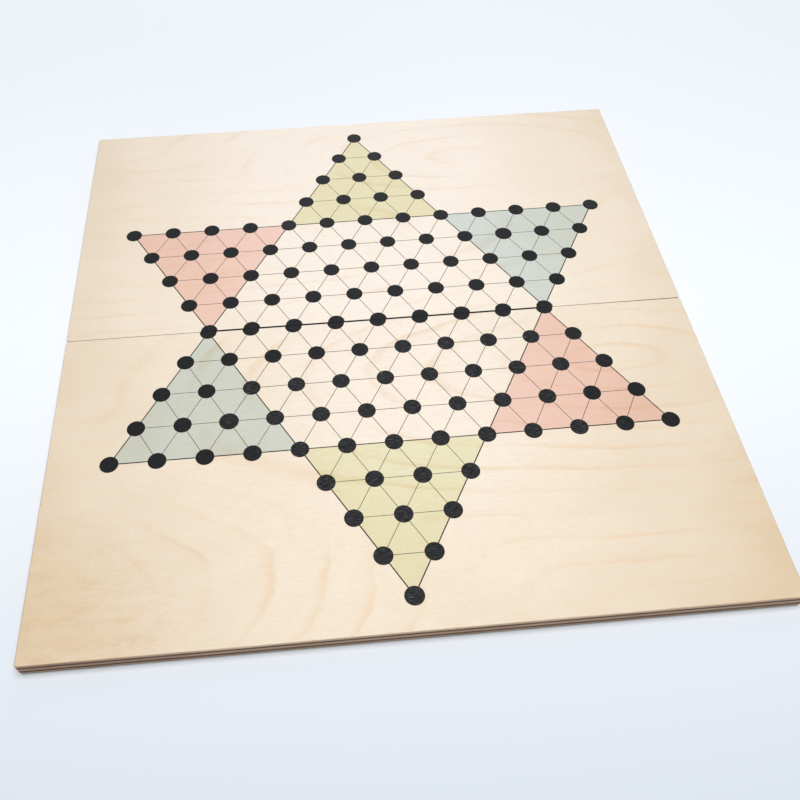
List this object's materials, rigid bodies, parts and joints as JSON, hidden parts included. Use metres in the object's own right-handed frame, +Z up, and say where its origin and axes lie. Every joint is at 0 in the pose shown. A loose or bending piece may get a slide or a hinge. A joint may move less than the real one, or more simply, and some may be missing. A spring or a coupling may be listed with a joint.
{
  "type": "folding halma board",
  "caption": "Folding plywood halma board: a star of printed dots in pastel arms across its hinged leaves, on felt pads.",
  "frame": {"origin": "on the table top under the middle of the seam, with the board lying open on its pads", "axes": "+X along the seam to the right, +Y to the rear across the seam, +Z up out of the printed face"},
  "size_m": [0.3, 0.3132, 0.0088],
  "materials": {
    "face_veneer": "sanded and clear matt lacquered, grain along the seam",
    "crossband": "sawn and sanded plywood edge, end grain at front and rear",
    "core_ply": "sawn and sanded plywood edge, long grain at front and rear",
    "back_veneer": "sanded, unlacquered",
    "black_ink": "satin screen-printed ink",
    "yellow_ink": "thin pastel print, wood grain shows through",
    "pink_ink": "thin pastel print, wood grain shows through",
    "grey_ink": "thin pastel print, wood grain shows through",
    "felt": "pressed wool felt",
    "hinge_brass": "satin, slightly tarnished",
    "screw_brass": "turned, polished",
    "pin_steel": "drawn wire"
  },
  "bodies": {
    "front_leaf": {"front_back_veneer": "back_veneer", "front_lower_crossband": "crossband", "front_core_ply": "core_ply", "front_upper_crossband": "crossband", "front_face_veneer": "face_veneer", "front_black_print": "black_ink", "front_yellow_print": "yellow_ink", "front_pink_print": "pink_ink", "front_grey_print": "grey_ink", "front_left_pad": "felt", "front_right_pad": "felt", "left_hinge_front_plate": "hinge_brass", "left_hinge_front_screws": "screw_brass", "left_hinge_pin": "pin_steel", "right_hinge_front_plate": "hinge_brass", "right_hinge_front_screws": "screw_brass", "right_hinge_pin": "pin_steel"},
    "rear_leaf": {"rear_back_veneer": "back_veneer", "rear_lower_crossband": "crossband", "rear_core_ply": "core_ply", "rear_upper_crossband": "crossband", "rear_face_veneer": "face_veneer", "rear_black_print": "black_ink", "rear_yellow_print": "yellow_ink", "rear_pink_print": "pink_ink", "rear_grey_print": "grey_ink", "rear_left_pad": "felt", "rear_right_pad": "felt", "left_hinge_rear_plate": "hinge_brass", "left_hinge_rear_screws": "screw_brass", "right_hinge_rear_plate": "hinge_brass", "right_hinge_rear_screws": "screw_brass"}
  },
  "joints": [
    {"name": "leaf_fold", "type": "hinge", "parent": "front_leaf", "child": "rear_leaf", "pos_m": [0, 0, 0.00155], "axis": [-1, 0, 0], "range_deg": [0, 178.5]}
  ]
}
